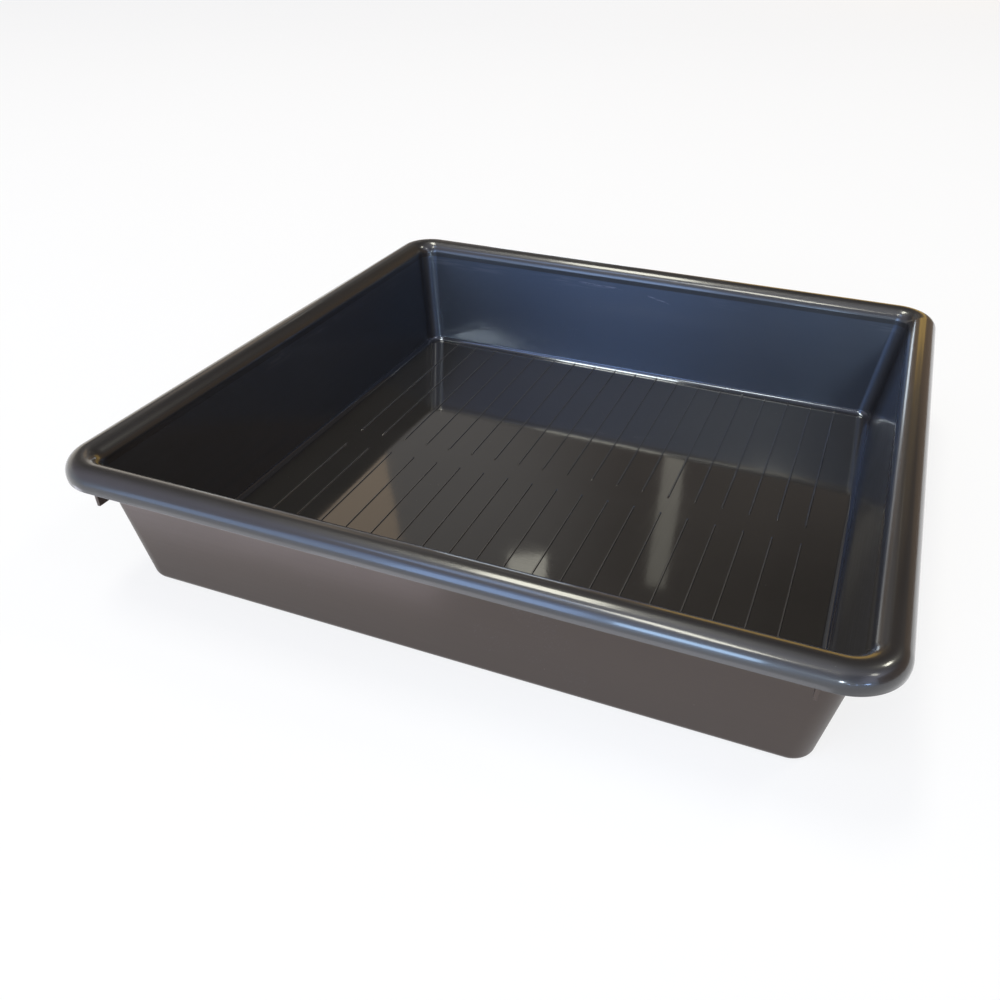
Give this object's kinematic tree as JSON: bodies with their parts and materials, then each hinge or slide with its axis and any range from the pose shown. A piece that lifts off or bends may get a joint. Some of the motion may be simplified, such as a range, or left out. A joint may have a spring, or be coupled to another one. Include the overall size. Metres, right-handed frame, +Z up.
{
  "type": "drip tray",
  "caption": "Square black plastic drip tray with drafted walls, a rolled rim on rounded corners and rows of fine ribs on its flat floor.",
  "frame": {"origin": "middle of the underside, on the surface the tray stands on", "axes": "+Z up, +X along the front rim to the right, +Y from front to back"},
  "size_m": [0.6, 0.596, 0.116],
  "materials": {
    "tub_plastic": "black moulded polypropylene, glossy inside and satin outside",
    "rim_plastic": "black moulded polypropylene, smooth gloss with fine handling scratches"
  },
  "bodies": {
    "root": {"floor_panel": "tub_plastic", "wall_front": "tub_plastic", "wall_back": "tub_plastic", "wall_left": "tub_plastic", "wall_right": "tub_plastic", "wall_corner_front_left": "tub_plastic", "wall_corner_front_right": "tub_plastic", "wall_corner_back_left": "tub_plastic", "wall_corner_back_right": "tub_plastic", "rim_front": "rim_plastic", "rim_back": "rim_plastic", "rim_left": "rim_plastic", "rim_right": "rim_plastic", "rim_corner_front_left": "rim_plastic", "rim_corner_front_right": "rim_plastic", "rim_corner_back_left": "rim_plastic", "rim_corner_back_right": "rim_plastic", "gusset_front_right": "tub_plastic", "gusset_front_left": "tub_plastic", "gusset_back_left": "tub_plastic", "gusset_back_right": "tub_plastic", "gusset_left_front": "tub_plastic", "gusset_left_back": "tub_plastic", "gusset_right_back": "tub_plastic", "gusset_right_front": "tub_plastic"}
  },
  "joints": []
}
